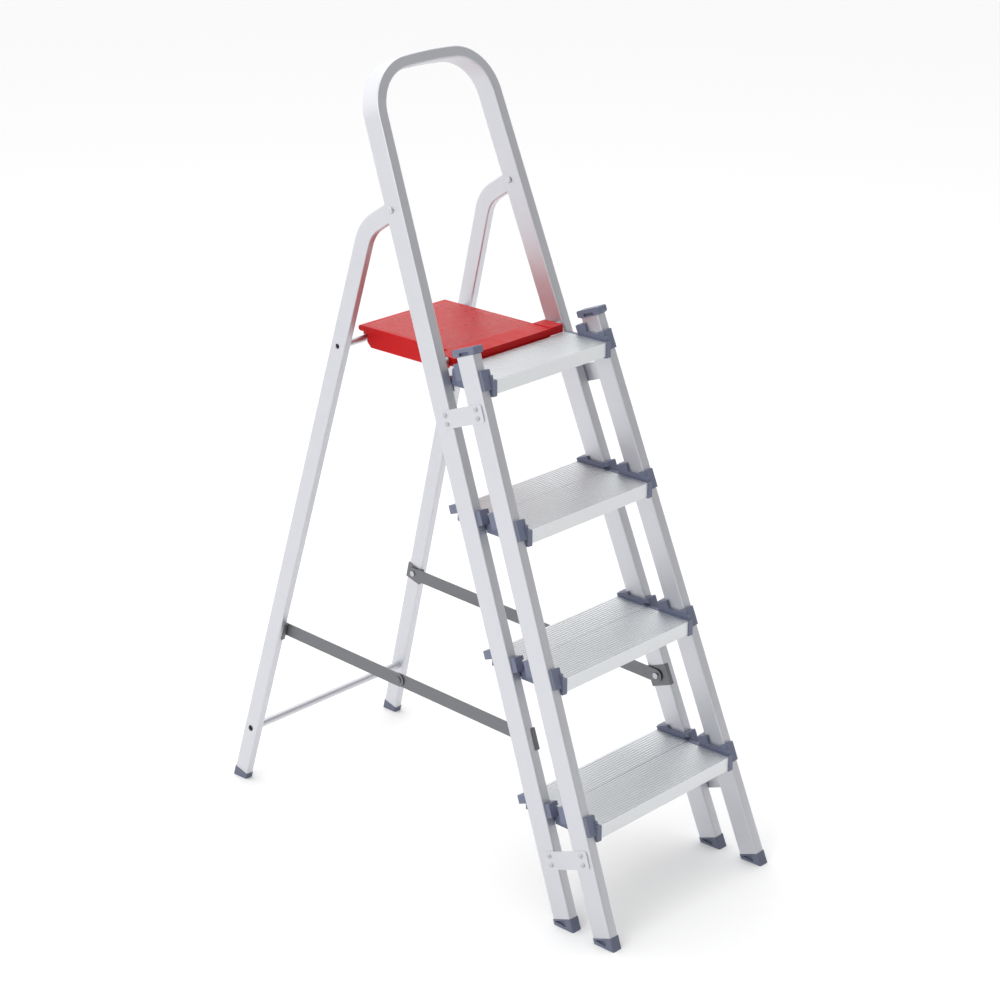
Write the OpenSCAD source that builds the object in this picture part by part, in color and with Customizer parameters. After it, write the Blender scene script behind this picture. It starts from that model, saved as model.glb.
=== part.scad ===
// Platform step ladder: hooped main frame with rear treads, front stiles with front treads,
// a swinging rear frame, a lifting platform and two folding stays.
// Millimetres, +Z up, -Y is the climbing side, origin on the floor under the middle.

/* [Main frame] */
// angle of the main rails from upright
lean = 20.68; // [18:0.1:22]
// half width over the rails at the floor, measured along the rail
half_w = 205.7; // [190:1:225]
// angle at which each rail leans in towards the top
splay = 2.5; // [2:0.1:3]
// length along the rails from the floor to the top of the hoop
hoop_len = 1473; // [1420:5:1560]
// outer radius of the hoop corners
hoop_r = 92; // [70:1:105]
// rail tube width, across the ladder
rail_w = 20; // [19:0.5:24]
// rail tube depth, front to back
rail_d = 40; // [38:1:46]
// rail tube wall
rail_wall = 1.2; // [1:0.1:1.4]
// outside corner radius of the rail tube
rail_r = 3; // [2:0.5:4]

/* [Front stiles] */
// gap between the front stiles and the main rails
stile_gap = 44; // [40:1:50]
// length along the rails to the top end of the front stiles
stile_len = 975; // [970:1:990]
// height of the cap on each stile
stile_cap_h = 12; // [10:1:18]

/* [Treads] */
// spacing of the treads along the rails
pitch = 250; // [235:1:252]
// length along the rails from the floor to the lowest tread
first_step = 210.6; // [205:1:230]
// nose of the front treads ahead of the main rails
nose_out = 100; // [98:1:104]
// rear edge of the front treads ahead of the main rails
seam = 8; // [7:0.5:10]
// depth of the rear treads behind the main rails' front face
rear_depth = 63; // [60:1:66]
// height of a tread
tread_h = 25; // [20:1:28]
// wall of a tread
tread_wall = 2; // [1.6:0.1:2.4]
// spacing of the grip ribs
rib_pitch = 6; // [5:0.5:8]
// height of the grip ribs
rib_h = 0.5; // [0.4:0.1:1]
// thickness of the plastic cap between a tread and its rail
end_cap = 8; // [6:0.5:10]

/* [Rear frame] */
// angle of the rear legs from upright
leg_tilt = 15.75; // [15:0.05:16.5]
// angle at which each leg leans in towards the top
leg_splay = 2.6; // [2.4:0.1:2.8]
// rear leg tube width
leg_w = 15.6; // [14.5:0.1:15.8]
// rear leg tube depth
leg_d = 32; // [28:1:33]
// rear leg tube wall
leg_wall = 1.4; // [1.2:0.1:1.8]
// leg pivot: length along the rail from the floor
pivot_len = 1232; // [1215:1:1245]
// leg pivot: distance behind the rail's front face
pivot_in = 26; // [25:0.5:27]
// distance of the straight leg behind its pivot
leg_offset = 50; // [46:1:54]
// angle of the leg's bent top end from upright
neck_tilt = 57; // [54:1:60]
// middle radius of the bend at the leg's top
neck_r = 70; // [60:1:76]
// diameter of the pivot rivets
pivot_d = 8; // [6:0.5:10]
// diameter of the rod that carries the platform
rod_d = 12; // [10:0.5:13]
// height of that rod above the floor
rod_z = 887; // [884:0.5:890]
// diameter of the cross tube at the foot of the rear frame
cross_d = 14; // [12:0.5:18]
// height of that cross tube above the floor
cross_z = 108; // [104:1:140]

/* [Platform] */
// height of the platform hinge above the floor
hinge_z = 905; // [904:0.5:906]
// distance of the platform hinge behind the rail's front face
hinge_in = 10; // [9.5:0.1:11]
// length of the platform behind its hinge
deck_len = 240; // [238:0.5:244]
// half width of the platform
deck_half = 104; // [96:1:110]
// half width of its front lip
lip_half = 133; // [128:1:134]
// depth of the platform's side skirts under the deck
skirt_h = 27; // [20:1:30]
// diameter of the platform's hinge pins
hinge_d = 8; // [6:0.5:9]

/* [Stays] */
// length along the rail from the floor to a stay's front rivet
stay_len = 330.7; // [326:0.1:336]
// height of a stay's rear rivet above the floor
stay_z = 322.7; // [318:0.1:328]
// depth of a stay bar
stay_d = 24.5; // [20:0.5:26]
// thickness of a stay bar
stay_t = 2; // [1.6:0.1:2.2]
// diameter of the stay rivets
stay_rivet = 6; // [5:0.5:8]

/* [Hidden] */
$fn = 64;
EPS = 0.02;
HAIR = 0.01;
RUN = 0.05;
FIT = 0.2;
SEAT = 0.3;
STEPS = 4;
rib_w = 2;
FACE = 0.05;
seam_gap = 1.2;
strip_t = 5;
strip_h = 9;
over_cap = 1.5;
hook_reach = rail_w - 3;
arm_len = 8;

ALU = "#C9CACD";
GREY = "#6F7488";
DARK = "#55575C";
RED = "#C81414";
STEEL = "#8E9094";

kr = tan(splay);
rail_x = half_w - rail_w / 2 / cos(splay);
stile_m = -stile_gap - rail_d;
function rail_y(s, m) = m * cos(lean) + s * sin(lean);
function rail_z(s, m) = s * cos(lean) - m * sin(lean);
function inner_x(s) = half_w - s * kr - rail_w;

// rear frame, worked out from the pivot
pivot_y = rail_y(pivot_len, pivot_in);
pivot_z = rail_z(pivot_len, pivot_in);
pivot_x = half_w - rail_w / 2 - pivot_len * kr;
bend = neck_tilt - leg_tilt;
corner_w = -leg_offset / tan(bend);
neck_t = norm([leg_offset, corner_w]);
bend_cut = neck_r * tan(bend / 2);
neck_z = corner_w - bend_cut;
leg_bottom = 14;
function leg_w_at(z) = (z - pivot_z + leg_offset * -sin(leg_tilt)) / cos(leg_tilt);
function leg_y(z) = pivot_y + leg_offset * cos(leg_tilt) - leg_w_at(z) * sin(leg_tilt);
function leg_inner(z) = pivot_x - leg_w_at(z) * tan(leg_splay) - leg_w / 2;
rear_y = leg_y(0) + leg_d / 2 / cos(leg_tilt);
front_y = stile_m / cos(lean);
mid_y = (rear_y + front_y) / 2;

// stays
stay_fy = rail_y(stay_len, 24);
stay_fz = rail_z(stay_len, 24);
stay_ry = leg_y(stay_z);
stay_rz = stay_z;
stay_run = norm([stay_ry - stay_fy, stay_rz - stay_fz]);
stay_rise = atan2(stay_rz - stay_fz, stay_ry - stay_fy);
bracket_t = 1.5;
stay_x = 166.5;
stay_gap = 0.3;

// platform
hinge_y = (hinge_in + hinge_z * sin(lean)) / cos(lean);
hinge_len = hinge_y * sin(lean) + hinge_z * cos(lean);
deck_top = 6;
deck_t = 10;
lip_front = 17.5;
lip_back = 24;

// which sub-part to draw

// ---- frames ----
module placed() {
  translate([0, -mid_y, 0]) children();
}

module sided(side) {
  mirror([side < 0 ? 1 : 0, 0, 0]) children();
}

// plane of the rails: X across, Y back, Z up along them
module rail_plane() {
  placed() rotate([-lean, 0, 0]) children();
}

// one rail: X outwards from its middle, Y back from the main rail's front face, Z along it
module on_rail(side) {
  rail_plane() sided(side) translate([rail_x, 0, 0]) rotate([0, -splay, 0]) children();
}

// level at a tread: same as on_rail but with Y and Z level and upright again
module on_step(side, i, m) {
  on_rail(side) translate([0, m, step_len(i) + m * tan(lean)]) rotate([lean, 0, 0]) children();
}

// one rear leg: origin at its pivot, Z up along the straight leg, Y to the rear
module on_leg(side) {
  placed() sided(side) translate([pivot_x, pivot_y, pivot_z]) rotate([leg_tilt, 0, 0])
    rotate([0, -leg_splay, 0]) children();
}

module below_floor() {
  placed() translate([0, 0, -200]) cube([1200, 3000, 400], center = true);
}

function step_len(i) = first_step + (i - 1) * pitch;

// ---- sections ----
module rounded(w, d, r) {
  square([w - 2 * r, d], center = true);
  square([w, d - 2 * r], center = true);
  for (sx = [-1, 1], sy = [-1, 1]) translate([sx * (w / 2 - r), sy * (d / 2 - r)]) circle(r);
}

module tube_section(w, d, wall, r) {
  difference() {
    rounded(w, d, r);
    rounded(w - 2 * wall, d - 2 * wall, max(r - wall, 0.5));
  }
}

module rail_section() {
  tube_section(rail_w, rail_d, rail_wall, rail_r);
}

// ---- hooped main frame ----
crown_r = 900;
foot_len = 23.5;
function foot_at(m) = foot_len + m * tan(lean);
hoop_a = half_w - hoop_r / cos(splay);
hoop_b = hoop_len - crown_r;
hoop_c = crown_r - hoop_r;
hoop_p = hoop_a * kr + hoop_b;
hoop_q = (1 + kr * kr) * (hoop_a * hoop_a + hoop_b * hoop_b - hoop_c * hoop_c);
corner_s = (hoop_p + sqrt(hoop_p * hoop_p - hoop_q)) / (1 + kr * kr);
corner_x = half_w - kr * corner_s - hoop_r / cos(splay);
crown_a = atan2(corner_x, corner_s - hoop_b);
rail_end = corner_s * cos(splay) - (corner_x - rail_x) * sin(splay);

// arc of tube in the rail plane, from angle a0 to a1 about the local origin
module hoop_arc(r, a0, a1) {
  rotate([90, 0, 0]) rotate([0, 0, a0]) rotate_extrude(angle = a1 - a0, $fn = 128)
    translate([r - rail_w / 2, 0]) rail_section();
}

module hoop_bend() {
  color(ALU) {
    for (side = [-1, 1]) rail_plane() sided(side) translate([corner_x, rail_d / 2, corner_s])
      hoop_arc(hoop_r, splay, 90 - crown_a);
    rail_plane() translate([0, rail_d / 2, hoop_b]) hoop_arc(crown_r, 90 - crown_a, 90 + crown_a);
  }
}

module main_rail(side) {
  color(ALU) difference() {
    on_rail(side) translate([0, rail_d / 2, foot_len]) linear_extrude(rail_end - foot_len) rail_section();
    on_rail(side) translate([0, rail_d, pivot_len + slot_mid]) cube([slot_w, 8, slot_len], center = true);
    pivot_hole(side, pivot_d);
    stay_hole(side, stay_rivet);
    hinge_hole(side, hinge_d);
    plate_holes(side);
  }
}

slot_w = 17.2;
slot_len = 68;
slot_mid = -8;

module pivot_hole(side, d) {
  placed() sided(side) translate([pivot_x, pivot_y, pivot_z]) rotate([0, 90, 0])
    cylinder(d = d, h = 3 * rail_w, center = true);
}

module stay_hole(side, d) {
  placed() sided(side) translate([inner_x(stay_len), stay_fy, stay_fz]) rotate([0, 90, 0])
    cylinder(d = d, h = rail_w, center = true);
}

module hinge_hole(side, d) {
  placed() sided(side) translate([inner_x(hinge_len), hinge_y, hinge_z]) rotate([0, 90, 0])
    cylinder(d = d, h = rail_w, center = true);
}

// ---- front stiles ----
module front_stile(side) {
  color(ALU) difference() {
    on_rail(side) translate([0, stile_m + rail_d / 2, foot_at(stile_m)])
      linear_extrude(stile_len - foot_at(stile_m)) rail_section();
    plate_holes(side);
  }
}

module stile_cap(side) {
  over = 1.2;
  front = 5;
  color(GREY) on_rail(side) translate([0, stile_m + rail_d / 2, stile_len]) {
    difference() {
      union() {
        translate([0, -front / 2 + 3, stile_cap_h / 2 + over])
          rotate([0, 90, 0]) linear_extrude(rail_w + 2 * over, center = true)
          rounded(stile_cap_h, rail_d + 2 * over + front + 3, 3);
        linear_extrude(stile_cap_h / 2) rounded(rail_w + 2 * over, rail_d + 2 * over, rail_r);
      }
      for (sx = [-1, 1]) translate([sx * rail_w / 2, 0, stile_cap_h / 3]) cube([6, 22, 5], center = true);
    }
    translate([0, 0, -20]) linear_extrude(21) plug_section();
  }
}

module plug_section() {
  gap = 2 * (rail_wall + FIT);
  rounded(rail_w - gap, rail_d - gap, 1.6);
}

// ---- front feet ----
module foot(side, m) {
  grow = 0.8;
  color(DARK) difference() {
    on_rail(side) translate([0, m + rail_d / 2, foot_at(m) - 60]) {
      linear_extrude(60) rounded(rail_w + 2 * grow, rail_d + 2 * grow, rail_r);
      linear_extrude(85) plug_section();
    }
    below_floor();
    for (sx = [-1, 1]) on_rail(side) translate([sx * (rail_w / 2 + grow), m + 13, foot_at(m) - 3])
      rotate([0, 90, 0]) linear_extrude(8, center = true) polygon([[0, 0], [0, 23], [11, 0]]);
  }
}

// ---- treads ----
// hollow box section: u back from the main rails' front plane, v up from the tread's top face
module tread_section(u0, u1, h) {
  bars = floor((u1 - u0 - 2 * rib_w) / rib_pitch);
  start = (u0 + u1) / 2 - bars * rib_pitch / 2;
  web = tread_wall;
  difference() {
    translate([u0, -h]) square([u1 - u0, h - rib_h]);
    translate([u0 + web, -h + web]) square([(u1 - u0) / 2 - 1.5 * web, h - rib_h - 2 * web]);
    translate([(u0 + u1) / 2 + web / 2, -h + web]) square([(u1 - u0) / 2 - 1.5 * web, h - rib_h - 2 * web]);
    translate([u0 + 12, -h - 1]) square([(u1 - u0) / 2 - 18, web + 2]);
    translate([(u0 + u1) / 2 + 6, -h - 1]) square([(u1 - u0) / 2 - 18, web + 2]);
  }
  for (b = [0:bars]) translate([start + b * rib_pitch - rib_w / 2, -rib_h - EPS]) square([rib_w, rib_h + EPS]);
}

module tread(i, u0, u1, h) {
  s = step_len(i);
  half = inner_x(s) - end_cap;
  color(ALU) placed() translate([0, rail_y(s, 0), rail_z(s, 0)]) rotate([90, 0, 90])
    linear_extrude(2 * half, center = true) tread_section(u0, u1, h);
}

module rear_tread(i) {
  tread(i, -seam + seam_gap, rear_depth, tread_h - 3);
}

module front_tread(i) {
  tread(i, -nose_out, -seam, tread_h);
}

// finger of an end cap round one narrow face of a rail, with an arm over the tread to the cap;
// hook is [depth, lowest, highest, lowest of the arm] from the tread top, along the rail
module cap_hook(side, s, face_m, dir, hook) {
  inner = -rail_w / 2 - FACE;
  gap = face_m + dir * FIT;
  far = face_m + dir * hook[0];
  base = s + face_m * tan(lean);
  inset = 0.5;
  on_rail(side) translate([inner + FIT, min(gap, far), base + hook[1]])
    cube([hook_reach - FIT, abs(far - gap), hook[2] - hook[1]]);
  on_rail(side) translate([0, 0, base + hook[3]]) linear_extrude(hook[2] - hook[3] - inset)
    polygon([[inner - strip_t + inset, face_m - dir * arm_len], [inner - inset, face_m - dir * arm_len],
             [inner - inset, gap + dir * inset], [inner + hook_reach - inset, gap + dir * inset],
             [inner + hook_reach - inset, far - dir * inset], [inner - strip_t + inset, far - dir * inset]]);
}

// plastic end of a tread: a cheek inside the rail, a raised strip along it, and a hook round the
// front and the back of the tube
module end_cap_piece(side, i, u0, u1, h, m, strip, ahead, behind) {
  s = step_len(i);
  half = inner_x(s) - end_cap;
  inner = -rail_w / 2 - FACE;
  color(GREY) difference() {
    union() {
      on_step(side, i, 0) translate([inner - end_cap - 4, u0, -h - over_cap])
        cube([end_cap + 4, u1 - u0, h + 2 * over_cap]);
      on_step(side, i, 0) translate([inner - strip_t, strip[0] / cos(lean), 0])
        cube([strip_t, (strip[1] - strip[0]) / cos(lean), strip_h]);
      cap_hook(side, s, m, -1, ahead);
      cap_hook(side, s, m + rail_d, 1, behind);
    }
    placed() translate([0, rail_y(s, 0), rail_z(s, 0)]) cube([2 * half, 400, 200], center = true);
  }
}

module front_cap(side, i) {
  end_cap_piece(side, i, -nose_out - over_cap, -seam, tread_h, stile_m, [stile_m - 6, stile_m + rail_d],
                [5.2, -16, 18, -8], [14, -6, 22, 2]);
}

module rear_cap(side, i) {
  end_cap_piece(side, i, -seam + seam_gap, rear_depth - 3, tread_h - 3, 0, [1, rail_d + 3],
                [11, -13, 12, 3.5], [19, -2, 13, 2]);
}

// ---- crossbar under the platform's front edge ----
bar_m = 6;
bar_d = 24;
bar_h = 20;
bar_s = 925;
bar_cap = 4;

module top_crossbar() {
  half = inner_x(bar_s + bar_h) - bar_cap;
  color(ALU) rail_plane() translate([0, bar_m + bar_d / 2, bar_s + bar_h / 2]) rotate([0, 90, 0])
    linear_extrude(2 * half, center = true) tube_section(bar_h, bar_d, 1.5, 2);
}

module crossbar_caps() {
  half = inner_x(bar_s + bar_h) - bar_cap;
  color(GREY) for (side = [-1, 1]) difference() {
    on_rail(side) translate([-rail_w / 2 - 12 - 0.05, bar_m - 3, bar_s - 3]) cube([12, bar_d + 6, bar_h + 6]);
    rail_plane() translate([0, 0, bar_s]) cube([2 * half, 300, 300], center = true);
  }
}

// ---- joining plates between main rails and stiles ----
plate_levels = [[110, 32], [864, 31]];
plate_m0 = -76;
plate_m1 = 26;
plate_t = 1.5;
plate_rivet = 5;
rivet_in = 14;

module plate_spots(side, i) {
  on_rail(side) for (m = [plate_m0 + rivet_in, plate_m1 - rivet_in], e = [8, plate_levels[i][1] - 8])
    translate([rail_w / 2, m, plate_levels[i][0] + e]) rotate([0, 90, 0]) children();
}

module plate_holes(side) {
  for (i = [0, 1]) plate_spots(side, i) cylinder(d = plate_rivet, h = 8, center = true);
}

module plates(i) {
  color(ALU) for (side = [-1, 1]) difference() {
    on_rail(side) translate([rail_w / 2, (plate_m0 + plate_m1) / 2, plate_levels[i][0] + plate_levels[i][1] / 2])
      rotate([0, 90, 0]) linear_extrude(plate_t) rounded(plate_levels[i][1], plate_m1 - plate_m0, 5);
    plate_holes(side);
  }
}

module plate_rivets() {
  color(STEEL) for (side = [-1, 1], i = [0, 1]) plate_spots(side, i) rotate_extrude($fn = 32)
    polygon([[0, -2.5], [plate_rivet / 2, -2.5], [plate_rivet / 2, plate_t], [4.4, plate_t],
             [4.4, plate_t + 0.8], [3.2, plate_t + 2], [0, plate_t + 2.4]]);
}

// ---- rear frame ----
module leg_section() {
  tube_section(leg_w, leg_d, leg_wall, 3);
}

function leg_len(z) = leg_w_at(z) / cos(leg_splay);

// bent top end of a rear leg, from the straight leg to just past its pivot
module leg_neck(side) {
  tail = 14;
  color(ALU) difference() {
    on_leg(side) translate([0, leg_offset - neck_r, neck_z]) {
      rotate([90, 0, 90]) rotate_extrude(angle = bend - HAIR, $fn = 128)
        translate([neck_r, 0]) rotate(90) leg_section();
      translate([0, neck_r * cos(bend), neck_r * sin(bend)]) rotate([bend, 0, 0])
        linear_extrude(neck_t - bend_cut + tail) leg_section();
    }
    pivot_hole(side, pivot_d + 2 * RUN);
  }
}

module rear_leg(side) {
  color(ALU) difference() {
    on_leg(side) translate([0, leg_offset, leg_len(leg_bottom)])
      linear_extrude(neck_z - leg_len(leg_bottom)) leg_section();
    placed() translate([0, leg_y(rod_z), rod_z]) rotate([0, 90, 0]) cylinder(d = rod_d, h = 600, center = true);
    placed() translate([0, leg_y(cross_z), cross_z]) rotate([0, 90, 0]) cylinder(d = cross_d, h = 600, center = true);
    placed() sided(side) translate([leg_inner(stay_z), stay_ry, stay_rz]) rotate([0, 90, 0])
      cylinder(d = stay_rivet, h = 8, center = true);
  }
}

module foot_leg(side) {
  grow = 0.8;
  gap = 2 * (leg_wall + FIT);
  color(DARK) difference() {
    on_leg(side) translate([0, leg_offset, leg_len(-40)]) {
      linear_extrude(leg_len(leg_bottom) - leg_len(-40)) rounded(leg_w + 2 * grow, leg_d + 2 * grow, 3);
      linear_extrude(leg_len(leg_bottom) - leg_len(-40) + 22) rounded(leg_w - gap, leg_d - gap, 1.4);
    }
    below_floor();
  }
}

module cross_round(z, d, wall) {
  half = leg_inner(z) + leg_w;
  placed() translate([0, leg_y(z), z]) rotate([0, 90, 0]) linear_extrude(2 * half, center = true) difference() {
    circle(d = d);
    circle(d = d - 2 * wall);
  }
}

module bottom_cross_tube() {
  color(ALU) cross_round(cross_z, cross_d, 1.2);
}

module platform_rod() {
  color(ALU) cross_round(rod_z, rod_d, 1.5);
}

module leg_pivot(side) {
  head = 2.5;
  head_r = pivot_d / 2 + 1.2;
  reach = rail_w / 2 + 0.9;
  color(ALU) placed() sided(side) translate([pivot_x, pivot_y, pivot_z]) rotate([0, 90, 0]) rotate_extrude()
    polygon([[0, -reach - head], [head_r - 1.2, -reach - head], [head_r, -reach - 1], [head_r, -reach],
             [pivot_d / 2, -reach], [pivot_d / 2, reach], [head_r, reach], [head_r, reach + 1],
             [head_r - 1.2, reach + head], [0, reach + head]]);
}

// ---- platform ----
module deck_side() {
  r = deck_t / 2;
  translate([-lip_front, deck_top - deck_t]) square([lip_front + deck_len - r, deck_t]);
  translate([deck_len - r, deck_top - r]) circle(r);
}

module platform() {
  skirt_x = deck_half - 3;
  skirt_t = 3;
  skirt_0 = 22;
  skirt_1 = deck_len - 18;
  low = deck_top - deck_t;
  front_wall = 16.5;
  rod_u = leg_y(rod_z) - hinge_y;
  color(RED) difference() {
    placed() translate([0, hinge_y, hinge_z]) {
      difference() {
        rotate([90, 0, 90]) linear_extrude(2 * deck_half, center = true) deck_side();
        translate([-skirt_x, 24, low - 1]) cube([2 * skirt_x, deck_len - 60, deck_t - 3 + 1]);
      }
      for (sx = [-1, 1]) {
        translate([sx * (lip_half + deck_half - 1) / 2, (lip_back - lip_front) / 2, 0])
          cube([lip_half - deck_half + 1, lip_front + lip_back, 14], center = true);
        translate([sx * (skirt_x - skirt_t / 2), 0, 0]) rotate([90, 0, 90]) linear_extrude(skirt_t, center = true)
          polygon([[skirt_0, low + 1], [skirt_0, low - skirt_h + 12], [skirt_0 + 12, low - skirt_h],
                   [skirt_1 - 9, low - skirt_h], [skirt_1, low - skirt_h + 9], [skirt_1, low + 1]]);
      }
      for (u = [skirt_0 + 1.5, skirt_1 - 14]) translate([0, u, low - skirt_h / 2 + 6])
        cube([2 * skirt_x - skirt_t, skirt_t, skirt_h - 10], center = true);
      translate([-deck_half + 2, 0.5 - lip_front, -front_wall]) cube([2 * deck_half - 4, skirt_t, front_wall + low + 1]);
      for (r = [1:6]) translate([0, 24 + r * (deck_len - 70) / 7, low + 2])
        cube([2 * skirt_x, 2, 6], center = true);
      for (x = [-88, -44, 0, 44, 88]) translate([x, rod_u, low - 4]) cube([12, 14, 10], center = true);
    }
    placed() translate([0, hinge_y + rod_u, rod_z]) rotate([0, 90, 0])
      cylinder(d = rod_d + 2 * SEAT, h = 600, center = true);
    placed() for (sx = [-1, 1]) translate([sx * lip_half, hinge_y, hinge_z]) rotate([0, 90, 0])
      cylinder(d = hinge_d + 2 * RUN, h = 30, center = true);
  }
}

module hinge_pin(side) {
  color(STEEL) placed() sided(side) translate([0, hinge_y, hinge_z]) rotate([0, 90, 0]) {
    translate([0, 0, lip_half - 13]) cylinder(d = hinge_d, h = inner_x(hinge_len) + 3 - lip_half + 13);
    translate([0, 0, lip_half + 1]) cylinder(d = hinge_d + 5, h = inner_x(hinge_len) - lip_half - 1.8);
  }
}

// ---- folding stays ----
// flat bar from one rivet to the middle of the stay, with a low rivet head at its knee end
module stay_bar(side, x, cy, cz, ang, head_at) {
  color(STEEL) placed() sided(side) translate([x, cy, cz]) rotate([ang, 0, 0]) {
    difference() {
      rotate([90, 0, 90]) linear_extrude(stay_t) {
        translate([0, -stay_d / 2]) square([stay_run / 2, stay_d]);
        for (u = [0, stay_run / 2]) translate([u, 0]) circle(d = stay_d);
      }
      rotate([0, 90, 0]) cylinder(d = stay_rivet + 2 * RUN, h = 12, center = true);
    }
    translate([head_at, stay_run / 2, 0]) rotate([0, 90, 0]) cylinder(d = 12, h = 1.6, center = true);
  }
}

module stay_front(side) {
  stay_bar(side, stay_x, stay_fy, stay_fz, stay_rise, -0.75);
}

module stay_rear(side) {
  stay_bar(side, stay_x + stay_t + stay_gap, stay_ry, stay_rz, stay_rise + 180, stay_t + 0.75);
}

module front_bracket(side) {
  h = 38;
  d = rail_d + 2 * bracket_t;
  color(STEEL) difference() {
    on_rail(side) translate([0, rail_d / 2, stay_len - h / 2]) linear_extrude(h) {
      translate([-rail_w / 2 - bracket_t, -d / 2]) square([bracket_t, d]);
      for (sy = [-1, 1]) translate([-rail_w / 2 - bracket_t, sy > 0 ? d / 2 - bracket_t : -d / 2]) square([9, bracket_t]);
    }
    stay_hole(side, stay_rivet);
  }
}

module rear_bracket(side) {
  h = 32;
  d = leg_d + 2 * bracket_t;
  color(STEEL) difference() {
    on_leg(side) translate([0, leg_offset, leg_len(stay_z) - h / 2]) linear_extrude(h) {
      translate([-leg_w / 2 - bracket_t, -d / 2]) square([bracket_t, d]);
      for (sy = [-1, 1]) translate([-leg_w / 2 - bracket_t, sy > 0 ? d / 2 - bracket_t : -d / 2]) square([8, bracket_t]);
    }
    placed() sided(side) translate([leg_inner(stay_z), stay_ry, stay_rz]) rotate([0, 90, 0])
      cylinder(d = stay_rivet, h = 12, center = true);
  }
}

// rivet from x0, through the bar at x1, to its seat at x2
module stay_pin(x1, x2, collar) {
  head = 2;
  rotate([0, 90, 0]) {
    translate([0, 0, x1]) cylinder(d = stay_rivet, h = x2 - x1);
    translate([0, 0, x1 - head - 0.1]) cylinder(d = 11, h = head);
    translate([0, 0, x1 - 0.2]) cylinder(d = stay_rivet, h = 1);
    translate([0, 0, x1 + stay_t + 0.1]) cylinder(d = 10, h = collar);
  }
}

module stay_rivets_front() {
  color(STEEL) placed() for (side = [-1, 1]) sided(side) translate([0, stay_fy, stay_fz])
    stay_pin(stay_x, inner_x(stay_len) + 3, inner_x(stay_len) - bracket_t - stay_x - stay_t - 0.4);
}

module stay_rivets_rear() {
  color(STEEL) placed() for (side = [-1, 1]) sided(side) translate([0, stay_ry, stay_rz])
    stay_pin(stay_x + stay_t + stay_gap, leg_inner(stay_z) + 3, 0.3);
}

main_rail(-1);  // main_rail_left
main_rail(1);  // main_rail_right
hoop_bend();
front_stile(-1);  // front_stile_left
front_stile(1);  // front_stile_right
stile_cap(-1);  // stile_cap_left
stile_cap(1);  // stile_cap_right
foot(-1, 0);  // foot_rail_left
foot(1, 0);  // foot_rail_right
foot(-1, stile_m);  // foot_stile_left
foot(1, stile_m);  // foot_stile_right
rear_tread(1);  // rear_tread_1
rear_tread(2);  // rear_tread_2
rear_tread(3);  // rear_tread_3
front_tread(1);  // front_tread_1
front_tread(2);  // front_tread_2
front_tread(3);  // front_tread_3
front_tread(4);  // front_tread_4
rear_cap(-1, 1);  // rear_cap_left_1
rear_cap(-1, 2);  // rear_cap_left_2
rear_cap(-1, 3);  // rear_cap_left_3
rear_cap(1, 1);  // rear_cap_right_1
rear_cap(1, 2);  // rear_cap_right_2
rear_cap(1, 3);  // rear_cap_right_3
front_cap(-1, 1);  // front_cap_left_1
front_cap(-1, 2);  // front_cap_left_2
front_cap(-1, 3);  // front_cap_left_3
front_cap(-1, 4);  // front_cap_left_4
front_cap(1, 1);  // front_cap_right_1
front_cap(1, 2);  // front_cap_right_2
front_cap(1, 3);  // front_cap_right_3
front_cap(1, 4);  // front_cap_right_4
top_crossbar();
crossbar_caps();
plates(1);  // upper_plates
plates(0);  // lower_plates
plate_rivets();
rear_leg(-1);  // rear_leg_left
rear_leg(1);  // rear_leg_right
leg_neck(-1);  // leg_neck_left
leg_neck(1);  // leg_neck_right
foot_leg(-1);  // foot_leg_left
foot_leg(1);  // foot_leg_right
bottom_cross_tube();
platform_rod();
leg_pivot(-1);  // leg_pivot_left
leg_pivot(1);  // leg_pivot_right
platform();
hinge_pin(-1);  // hinge_pin_left
hinge_pin(1);  // hinge_pin_right
stay_front(-1);  // stay_front_left
stay_front(1);  // stay_front_right
stay_rear(-1);  // stay_rear_left
stay_rear(1);  // stay_rear_right
front_bracket(-1);  // front_bracket_left
front_bracket(1);  // front_bracket_right
rear_bracket(-1);  // rear_bracket_left
rear_bracket(1);  // rear_bracket_right
stay_rivets_front();
stay_rivets_rear();
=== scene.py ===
"""Looks of the platform step ladder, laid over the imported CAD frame."""

import math

import bpy
import numpy as np
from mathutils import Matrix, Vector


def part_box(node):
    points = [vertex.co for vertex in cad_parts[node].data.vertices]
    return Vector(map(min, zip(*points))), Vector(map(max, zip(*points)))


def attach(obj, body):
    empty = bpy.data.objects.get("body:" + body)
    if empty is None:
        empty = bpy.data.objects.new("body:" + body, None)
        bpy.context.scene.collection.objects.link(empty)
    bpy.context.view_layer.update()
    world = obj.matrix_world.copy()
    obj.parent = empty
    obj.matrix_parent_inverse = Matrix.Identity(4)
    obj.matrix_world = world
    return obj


bl_info = {
    "name": "Platform step ladder",
    "version": (1, 0, 0),
    "blender": (4, 5, 0),
    "location": "View3D > Sidebar > Ladder",
    "description": "Finishes, trims and studio for a platform step ladder",
    "category": "Object",
}

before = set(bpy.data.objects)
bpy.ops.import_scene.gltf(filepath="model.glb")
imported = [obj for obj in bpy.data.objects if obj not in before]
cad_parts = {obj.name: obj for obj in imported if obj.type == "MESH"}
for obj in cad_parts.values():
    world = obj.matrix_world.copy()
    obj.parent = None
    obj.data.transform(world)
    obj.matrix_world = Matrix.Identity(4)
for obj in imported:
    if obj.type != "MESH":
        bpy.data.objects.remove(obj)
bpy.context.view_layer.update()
MM = 0.001
RAIL_LEAN = 20.68
LEG_TILT = 15.75
SHARP_EDGE = 35.0
EDGE_FADE = 3 * MM
FLOOR_HALF = 15.0
CAMERA_AT = (-2.9855, -2.8055, 2.1868)
CAMERA_TURN = (69.011, 0.0, -47.01)
CAMERA_LENS = 91.41
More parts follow.
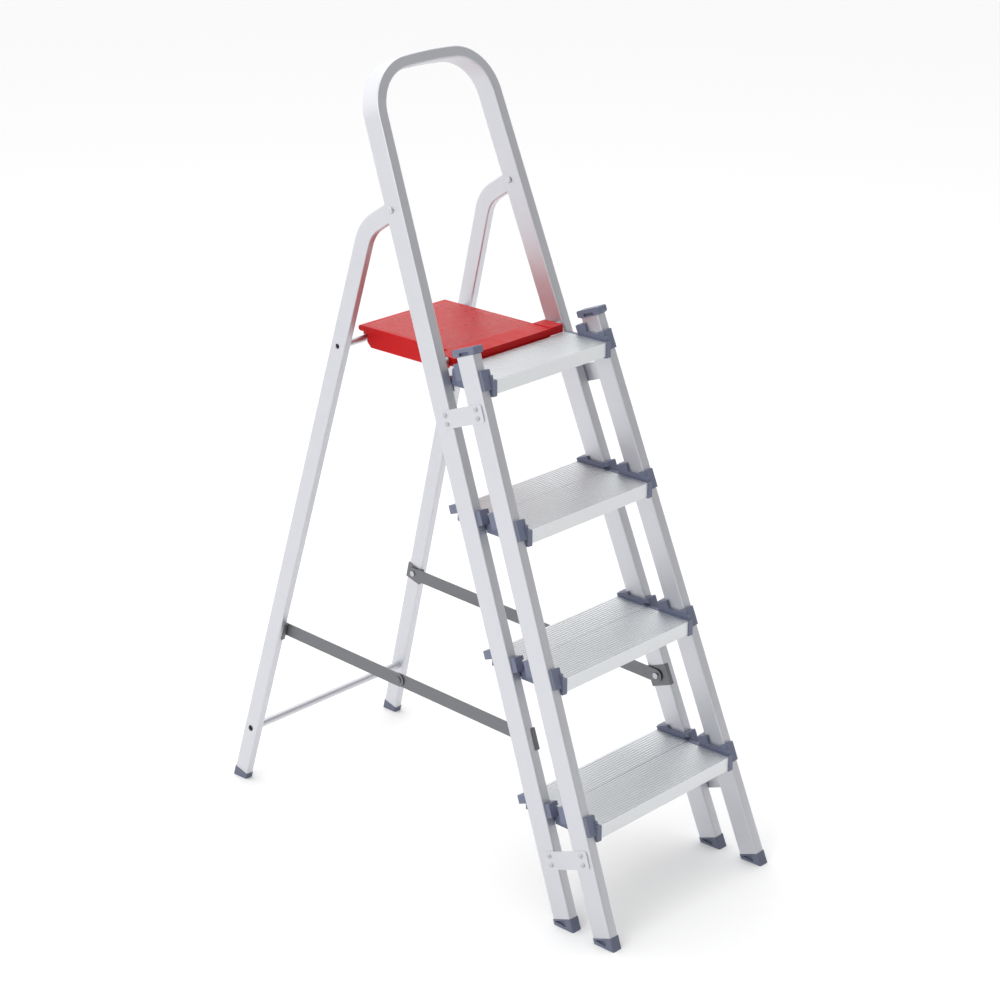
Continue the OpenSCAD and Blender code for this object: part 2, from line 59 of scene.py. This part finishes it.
# name, place, width, power and aim of each soft light
LIGHTS = (
    ("Key", (-4.2, -0.6, 3.2), 2.6, 45.0, (0.0, 0.0, 0.7)),
    ("Top", (0.5, 0.8, 4.2), 3.0, 35.0, (0.0, 0.0, 0.6)),
    ("Front fill", (0.8, -4.2, 1.6), 2.4, 3.0, (0.0, 0.0, 0.7)),
)


# ---- settings a user can change ----
def srgb(hex_colour):
    """Hex sRGB to linear RGBA."""
    c = np.array([int(hex_colour[i : i + 2], 16) for i in (1, 3, 5)]) / 255.0
    lin = np.where(c <= 0.04045, c / 12.92, ((c + 0.055) / 1.055) ** 2.4)
    return (*[float(v) for v in lin], 1.0)


def colour_prop(name, description, hex_colour):
    return bpy.props.FloatVectorProperty(
        name=name,
        description=description,
        subtype="COLOR",
        size=4,
        min=0.0,
        max=1.0,
        default=srgb(hex_colour),
    )


class LadderFinishes(bpy.types.PropertyGroup):
    """Colours of the ladder's finishes."""

    tube: colour_prop("Tube", "Mill finish of the drawn aluminium tubes", "#CDCED3")
    tread: colour_prop("Tread", "Extruded aluminium of the treads", "#DADCDE")
    plastic: colour_prop("End caps", "Blue-grey moulded caps", "#6A7086")
    foot: colour_prop("Feet", "Soft plastic of the feet", "#62677A")
    deck: colour_prop("Platform", "Moulded red of the platform", "#C0060A")
    steel: colour_prop("Stays", "Zinc-plated steel of the stays", "#77787B")
    rivet: colour_prop("Rivets", "Bright steel of the rivets", "#B4B5B9")


class LadderSizes(bpy.types.PropertyGroup):
    """Sizes of the details added to the frame."""

    rib_pitch: bpy.props.FloatProperty(
        name="Deck rib pitch",
        description="Spacing of the platform's grip ribs",
        default=5.0 * MM,
        min=2.0 * MM,
        max=12.0 * MM,
        unit="LENGTH",
    )
    rib_height: bpy.props.FloatProperty(
        name="Deck rib height",
        description="Height of the platform's grip ribs",
        default=0.7 * MM,
        min=0.2 * MM,
        max=2.0 * MM,
        unit="LENGTH",
    )
    lip_overhang: bpy.props.FloatProperty(
        name="Lip overhang",
        description="How far the front lip stands out past each side of the deck",
        default=29.0 * MM,
        min=0.0,
        max=40.0 * MM,
        unit="LENGTH",
    )
    lip_depth: bpy.props.FloatProperty(
        name="Lip depth",
        description="Depth of the smooth front lip ahead of the ribs",
        default=44.0 * MM,
        min=10.0 * MM,
        max=80.0 * MM,
        unit="LENGTH",
    )
    lip_rise: bpy.props.FloatProperty(
        name="Lip rise",
        description="Height of the front lip above the deck",
        default=1.0 * MM,
        min=0.0,
        max=4.0 * MM,
        unit="LENGTH",
    )
    grip_margin: bpy.props.FloatProperty(
        name="Grip margin",
        description="Smooth border left round the ribs",
        default=6.0 * MM,
        min=2.0 * MM,
        max=20.0 * MM,
        unit="LENGTH",
    )
    edge: bpy.props.FloatProperty(
        name="Edge radius",
        description="Rounding on the edges of moulded and extruded parts",
        default=0.9 * MM,
        min=0.0,
        max=2.0 * MM,
        unit="LENGTH",
    )


# ---- nodes and materials ----
def node(tree, kind, links=(), **values):
    """Adds a node, sets its properties and sockets by name, and links (socket, source socket) pairs."""
    n = tree.nodes.new(kind)
    for key, value in values.items():
        if key.startswith("in_"):
            n.inputs[key[3:].replace("_", " ")].default_value = value
        else:
            setattr(n, key, value)
    for socket, source in links:
        tree.links.new(source, n.inputs[socket])
    return n


def start_material(name):
    m = bpy.data.materials.new(name)
    m.use_nodes = True
    t = m.node_tree
    t.nodes.clear()
    out = t.nodes.new("ShaderNodeOutputMaterial")
    shader = t.nodes.new("ShaderNodeBsdfPrincipled")
    t.links.new(shader.outputs["BSDF"], out.inputs["Surface"])
    return m, t, shader


def tint(tree, factor, low, high, colour):
    """Multiplies a colour by a factor that runs from low to high."""
    span = node(
        tree,
        "ShaderNodeMapRange",
        [("Value", factor)],
        in_To_Min=low,
        in_To_Max=high,
    )
    mix = node(tree, "ShaderNodeVectorMath", operation="SCALE")
    mix.inputs[0].default_value = colour[:3]
    tree.links.new(span.outputs["Result"], mix.inputs["Scale"])
    return mix.outputs["Vector"]


def streaked_metal(name, colour, tilt, along, rough, line=0.35, bump=0.03, streak=(0.95, 1.03)):
    """Aluminium drawn or extruded through a die: fine lines along its length, faint handling
    smudges, and a soft satin reflection. The die lines are about 0.4 mm apart, drawn half
    as coarse again so that they still show."""
    m, t, s = start_material(name)
    where = node(t, "ShaderNodeTexCoord").outputs["Object"]
    turned = node(t, "ShaderNodeMapping", [("Vector", where)], vector_type="TEXTURE")
    turned.inputs["Rotation"].default_value = (math.radians(-tilt), 0.0, 0.0)
    fine = [1 / (0.6 * MM)] * 3
    fine[along] = 3.0
    lines_at = node(t, "ShaderNodeMapping", [("Vector", turned.outputs["Vector"])])
    lines_at.inputs["Scale"].default_value = fine
    lines = node(
        t,
        "ShaderNodeTexNoise",
        [("Vector", lines_at.outputs["Vector"])],
        in_Scale=1.0,
        in_Detail=4.0,
        in_Roughness=0.6,
    )
    smudge = node(
        t, "ShaderNodeTexNoise", [("Vector", where)], in_Scale=14.0, in_Detail=3.0, in_Roughness=0.55
    )
    scratch_at = node(t, "ShaderNodeMapping", [("Vector", turned.outputs["Vector"])])
    scratch_at.inputs["Scale"].default_value = [60.0 if i != along else 900.0 for i in range(3)]
    scratch = node(
        t,
        "ShaderNodeTexVoronoi",
        [("Vector", scratch_at.outputs["Vector"])],
        feature="DISTANCE_TO_EDGE",
        in_Scale=1.0,
    )
    worn = node(
        t,
        "ShaderNodeMapRange",
        [("Value", scratch.outputs["Distance"])],
        in_From_Max=0.03,
        in_To_Min=1.0,
        in_To_Max=0.0,
    )
    mixed = node(
        t,
        "ShaderNodeMath",
        [(0, lines.outputs["Fac"]), (1, smudge.outputs["Fac"])],
        operation="ADD",
    )
    t.links.new(tint(t, mixed.outputs[0], *streak, colour), s.inputs["Base Color"])
    rough_lines = node(
        t,
        "ShaderNodeMapRange",
        [("Value", lines.outputs["Fac"])],
        in_To_Min=rough - line * 0.25,
        in_To_Max=rough + line * 0.25,
    )
    rough_all = node(
        t,
        "ShaderNodeMath",
        [(0, smudge.outputs["Fac"]), (2, rough_lines.outputs["Result"])],
        operation="MULTIPLY_ADD",
    )
    rough_all.inputs[1].default_value = 0.12
    t.links.new(rough_all.outputs[0], s.inputs["Roughness"])
    height = node(
        t,
        "ShaderNodeMath",
        [(0, worn.outputs["Result"]), (2, lines.outputs["Fac"])],
        operation="MULTIPLY_ADD",
    )
    height.inputs[1].default_value = -0.3
    relief = node(
        t,
        "ShaderNodeBump",
        [("Height", height.outputs[0])],
        in_Strength=bump,
        in_Distance=0.4 * MM,
    )
    t.links.new(relief.outputs["Normal"], s.inputs["Normal"])
    s.inputs["Metallic"].default_value = 1.0
    return m


def moulded_plastic(name, colour, rough, grain_mm, bump, coat=0.0, shine=0.5):
    """Injection-moulded plastic with a spark-eroded skin: an even colour with slight flow
    clouds, a fine leathery grain, and handling marks that polish it in places."""
    m, t, s = start_material(name)
    where = node(t, "ShaderNodeTexCoord").outputs["Object"]
    grain = node(
        t,
        "ShaderNodeTexNoise",
        [("Vector", where)],
        in_Scale=1 / (grain_mm * MM),
        in_Detail=3.0,
        in_Roughness=0.6,
    )
    flow = node(
        t,
        "ShaderNodeTexNoise",
        [("Vector", where)],
        in_Scale=22.0,
        in_Detail=4.0,
        in_Roughness=0.6,
        in_Distortion=0.8,
    )
    t.links.new(tint(t, flow.outputs["Fac"], 0.88, 1.08, colour), s.inputs["Base Color"])
    rub = node(
        t,
        "ShaderNodeMapRange",
        [("Value", flow.outputs["Fac"])],
        in_From_Min=0.35,
        in_From_Max=0.65,
        in_To_Min=rough - 0.07,
        in_To_Max=rough + 0.07,
    )
    t.links.new(rub.outputs["Result"], s.inputs["Roughness"])
    relief = node(
        t,
        "ShaderNodeBump",
        [("Height", grain.outputs["Fac"])],
        in_Strength=bump,
        in_Distance=0.25 * MM,
    )
    t.links.new(relief.outputs["Normal"], s.inputs["Normal"])
    s.inputs["IOR"].default_value = 1.5
    s.inputs["Specular IOR Level"].default_value = shine
    s.inputs["Coat Weight"].default_value = coat
    s.inputs["Coat Roughness"].default_value = 0.15
    return m


def zinc_plate(name, colour, rough):
    """Sheet steel with zinc plating: a mottled grey of small crystals about 2 mm across over
    rolling lines, duller than the aluminium beside it."""
    m, t, s = start_material(name)
    where = node(t, "ShaderNodeTexCoord").outputs["Object"]
    crystals = node(t, "ShaderNodeTexVoronoi", [("Vector", where)], in_Scale=1 / (2.2 * MM))
    rolled_at = node(t, "ShaderNodeMapping", [("Vector", where)])
    rolled_at.inputs["Scale"].default_value = (900.0, 12.0, 900.0)
    rolled = node(
        t, "ShaderNodeTexNoise", [("Vector", rolled_at.outputs["Vector"])], in_Scale=1.0, in_Detail=3.0
    )
    both = node(
        t,
        "ShaderNodeMath",
        [(0, crystals.outputs["Distance"]), (1, rolled.outputs["Fac"])],
        operation="ADD",
    )
    t.links.new(tint(t, both.outputs[0], 0.78, 1.12, colour), s.inputs["Base Color"])
    span = node(
        t,
        "ShaderNodeMapRange",
        [("Value", both.outputs[0])],
        in_To_Min=rough - 0.1,
        in_To_Max=rough + 0.1,
    )
    t.links.new(span.outputs["Result"], s.inputs["Roughness"])
    relief = node(
        t, "ShaderNodeBump", [("Height", rolled.outputs["Fac"])], in_Strength=0.1, in_Distance=0.2 * MM
    )
    t.links.new(relief.outputs["Normal"], s.inputs["Normal"])
    s.inputs["Metallic"].default_value = 1.0
    return m


def nodes_named(*starts):
    return [o for n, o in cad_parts.items() if n.startswith(starts)]


def dress(objects, material, edge=0.0):
    """Gives CAD nodes a material and, where edge is set, a small rounding on sharp edges."""
    for o in objects:
        o.data.materials.clear()
        o.data.materials.append(material)
        if edge > 0:
            weld = o.modifiers.new("Weld", "WELD")
            weld.merge_threshold = 0.01 * MM
            bevel = o.modifiers.new("Edges", "BEVEL")
            bevel.width = edge
            bevel.segments = 2
            bevel.limit_method = "ANGLE"
            bevel.angle_limit = math.radians(SHARP_EDGE)


def grid_mesh(name, points):
    """A mesh over a (rows, columns, 3) array of points, one quad per cell, wound so that the row
    direction crossed with the column direction gives the outward side."""
    rows, cols = points.shape[:2]
    idx = np.arange(rows * cols).reshape(rows, cols)
    a, b = idx[:-1, :-1], idx[1:, :-1]
    c, d = idx[1:, 1:], idx[:-1, 1:]
    quads = np.stack([a, b, c, d], axis=-1).reshape(-1, 4)
    mesh = bpy.data.meshes.new(name)
    mesh.from_pydata(points.reshape(-1, 3).tolist(), [], quads.tolist())
    mesh.update()
    obj = bpy.data.objects.new(name, mesh)
    bpy.context.scene.collection.objects.link(obj)
    return obj


def ribbed_sheet(name, across, along, top, sizes):
    """Grip surface of the deck. Across the deck u and along it v: height is top plus the rib height
    times the square of the cosine of pi v over the rib pitch, faded to just under the deck within
    three millimetres of every edge."""
    u = np.linspace(*across, 40)
    v = np.arange(along[0], along[1], sizes.rib_pitch / 8)
    v = np.append(v, along[1])
    grid_u, grid_v = np.meshgrid(u, v, indexing="ij")
    rib = sizes.rib_height * np.cos(math.pi * (grid_v - along[0]) / sizes.rib_pitch) ** 2
    inset = np.minimum.reduce(
        [grid_u - across[0], across[1] - grid_u, grid_v - along[0], along[1] - grid_v]
    )
    fade = np.clip(inset / EDGE_FADE, 0.0, 1.0)
    height = top - 0.2 * MM + (rib + 0.25 * MM) * fade
    return grid_mesh(name, np.stack([grid_u, grid_v, height], axis=-1))


# ---- pieces ----
class LADDER_OT_rails(bpy.types.Operator):
    """Finishes the leaning rails, stiles, hoop and crossbar as drawn aluminium."""

    bl_idname = "ladder.rails"
    bl_label = "Rails and hoop"

    def execute(self, context):
        c = context.scene.ladder_finishes
        tube = streaked_metal("Drawn aluminium rail", c.tube, RAIL_LEAN, 2, 0.40)
        dress(nodes_named("main_rail", "front_stile", "hoop_bend"), tube)
        bar = streaked_metal("Drawn aluminium crossbar", c.tube, 0.0, 0, 0.40)
        dress(nodes_named("top_crossbar", "bottom_cross", "platform_rod"), bar)
        plate = streaked_metal("Pressed aluminium plate", c.tube, RAIL_LEAN, 1, 0.34)
        dress(nodes_named("upper_plates", "lower_plates"), plate)
        return {"FINISHED"}


class LADDER_OT_legs(bpy.types.Operator):
    """Finishes the rear legs as drawn aluminium with lines along their own slope."""

    bl_idname = "ladder.legs"
    bl_label = "Rear legs"

    def execute(self, context):
        c = context.scene.ladder_finishes
        tube = streaked_metal("Drawn aluminium leg", c.tube, -LEG_TILT, 2, 0.40)
        dress(nodes_named("rear_leg", "leg_neck"), tube)
        return {"FINISHED"}


class LADDER_OT_treads(bpy.types.Operator):
    """Finishes the ribbed treads as extruded aluminium."""

    bl_idname = "ladder.treads"
    bl_label = "Treads"

    def execute(self, context):
        c = context.scene.ladder_finishes
        tread = streaked_metal("Extruded aluminium tread", c.tread, 0.0, 0, 0.42, line=0.2, bump=0.02)
        dress(nodes_named("front_tread", "rear_tread"), tread)
        return {"FINISHED"}


class LADDER_OT_plastics(bpy.types.Operator):
    """Finishes the moulded end caps and feet, with rounded edges."""

    bl_idname = "ladder.plastics"
    bl_label = "Caps and feet"

    def execute(self, context):
        c = context.scene.ladder_finishes
        edge = context.scene.ladder_sizes.edge
        caps = moulded_plastic("Moulded polypropylene cap", c.plastic, 0.48, 0.9, 0.25)
        dress(nodes_named("front_cap", "rear_cap", "stile_cap", "crossbar_caps"), caps, edge)
        feet = moulded_plastic("Soft moulded foot", c.foot, 0.6, 1.2, 0.35)
        dress(nodes_named("foot_"), feet, edge)
        return {"FINISHED"}


class LADDER_OT_platform(bpy.types.Operator):
    """Finishes the red platform and lays its ribbed grip surface."""

    bl_idname = "ladder.platform"
    bl_label = "Platform"

    def execute(self, context):
        scene = context.scene
        c, sizes = scene.ladder_finishes, scene.ladder_sizes
        body = moulded_plastic("Moulded red ABS", c.deck, 0.45, 0.8, 0.03, shine=0.2)
        dress([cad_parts["platform"]], body)
        gloss = moulded_plastic("Polished ribbed red ABS", c.deck, 0.3, 0.8, 0.03, coat=0.2, shine=0.35)
        low, high = (np.array(c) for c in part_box("platform"))
        side = sizes.lip_overhang + sizes.grip_margin
        grip = ribbed_sheet(
            "deck_grip",
            (low[0] + side, high[0] - side),
            (low[1] + sizes.lip_depth, high[1] - 2 * sizes.grip_margin),
            high[2] - sizes.lip_rise,
            sizes,
        )
        grip.data.materials.append(gloss)
        skin = grip.modifiers.new("Skin", "SOLIDIFY")
        skin.thickness = 1.5 * MM
        skin.offset = -1.0
        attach(grip, "platform")
        return {"FINISHED"}


class LADDER_OT_steelwork(bpy.types.Operator):
    """Finishes the stays, brackets, rivets and hinge pins in plated steel."""

    bl_idname = "ladder.steelwork"
    bl_label = "Stays and rivets"

    def execute(self, context):
        c = context.scene.ladder_finishes
        zinc = zinc_plate("Zinc-plated strip steel", c.steel, 0.42)
        dress(nodes_named("stay_front", "stay_rear", "front_bracket", "rear_bracket"), zinc)
        bright = zinc_plate("Bright rivet steel", c.rivet, 0.3)
        dress(nodes_named("plate_rivets", "stay_rivets", "hinge_pin"), bright)
        dress(nodes_named("leg_pivot"), bpy.data.materials["Pressed aluminium plate"])
        return {"FINISHED"}


class LADDER_OT_studio(bpy.types.Operator):
    """Builds the pale floor, the soft lights and the camera."""

    bl_idname = "ladder.studio"
    bl_label = "Studio"

    def execute(self, context):
        scene = context.scene
        span = np.linspace(-FLOOR_HALF, FLOOR_HALF, 3)
        floor_points = np.stack(np.meshgrid(span, span, [0.0], indexing="ij"), axis=-1)[:, :, 0, :]
        floor = grid_mesh("studio_floor", floor_points)
        m, _, s = start_material("Matt white studio floor")
        s.inputs["Base Color"].default_value = (0.98, 0.98, 0.98, 1.0)
        s.inputs["Roughness"].default_value = 0.9
        floor.data.materials.append(m)
        world = bpy.data.worlds.new("Studio")
        world.use_nodes = True
        where = node(world.node_tree, "ShaderNodeTexCoord").outputs["Generated"]
        part = node(world.node_tree, "ShaderNodeSeparateXYZ", [("Vector", where)])
        brightness = node(
            world.node_tree,
            "ShaderNodeMapRange",
            [("Value", part.outputs["Y"])],
            in_From_Min=-1.0,
            in_From_Max=1.0,
            in_To_Min=0.25,
            in_To_Max=1.65,
        )
        world.node_tree.links.new(
            brightness.outputs["Result"], world.node_tree.nodes["Background"].inputs["Strength"]
        )
        world.node_tree.nodes["Background"].inputs["Color"].default_value = (1.0, 1.0, 1.0, 1.0)
        scene.world = world
        for name, at, size, power, aim in LIGHTS:
            data = bpy.data.lights.new(name, "AREA")
            data.size = size
            data.energy = power
            lamp = bpy.data.objects.new(name, data)
            lamp.location = at
            direction = np.array(aim) - np.array(at)
            yaw = math.atan2(direction[1], direction[0])
            pitch = math.atan2(direction[2], math.hypot(direction[0], direction[1]))
            lamp.rotation_euler = (math.pi / 2 + pitch, 0.0, yaw - math.pi / 2)
            scene.collection.objects.link(lamp)
        camera = bpy.data.objects.new("Camera", bpy.data.cameras.new("Camera"))
        camera.data.sensor_width = 36.0
        camera.data.lens = CAMERA_LENS
        camera.data.clip_end = 100.0
        camera.location = CAMERA_AT
        camera.rotation_euler = [math.radians(a) for a in CAMERA_TURN]
        scene.collection.objects.link(camera)
        scene.camera = camera
        scene.view_settings.view_transform = "Standard"
        return {"FINISHED"}


class LADDER_PT_panel(bpy.types.Panel):
    """Lists the ladder's sizes, colours and pieces."""

    bl_label = "Platform step ladder"
    bl_idname = "LADDER_PT_panel"
    bl_space_type = "VIEW_3D"
    bl_region_type = "UI"
    bl_category = "Ladder"

    def draw(self, context):
        column = self.layout.column(align=True)
        for group in (context.scene.ladder_sizes, context.scene.ladder_finishes):
            for key in group.__annotations__:
                column.prop(group, key)
        for operator in OPERATORS:
            column.operator(operator.bl_idname)


OPERATORS = (
    LADDER_OT_rails,
    LADDER_OT_legs,
    LADDER_OT_treads,
    LADDER_OT_plastics,
    LADDER_OT_platform,
    LADDER_OT_steelwork,
    LADDER_OT_studio,
)
GROUPS = (LadderFinishes, LadderSizes)


def register():
    for cls in (*GROUPS, *OPERATORS, LADDER_PT_panel):
        bpy.utils.register_class(cls)
    bpy.types.Scene.ladder_finishes = bpy.props.PointerProperty(type=LadderFinishes)
    bpy.types.Scene.ladder_sizes = bpy.props.PointerProperty(type=LadderSizes)


def unregister():
    del bpy.types.Scene.ladder_sizes
    del bpy.types.Scene.ladder_finishes
    for cls in reversed((*GROUPS, *OPERATORS, LADDER_PT_panel)):
        bpy.utils.unregister_class(cls)


def main():
    """Registers the classes and runs each operator in turn."""
    register()
    for operator in OPERATORS:
        group, name = operator.bl_idname.split(".")
        if getattr(getattr(bpy.ops, group), name)() != {"FINISHED"}:
            raise RuntimeError(operator.bl_label + " did not finish")
    bpy.context.view_layer.update()


if __name__ == "__main__":
    main()
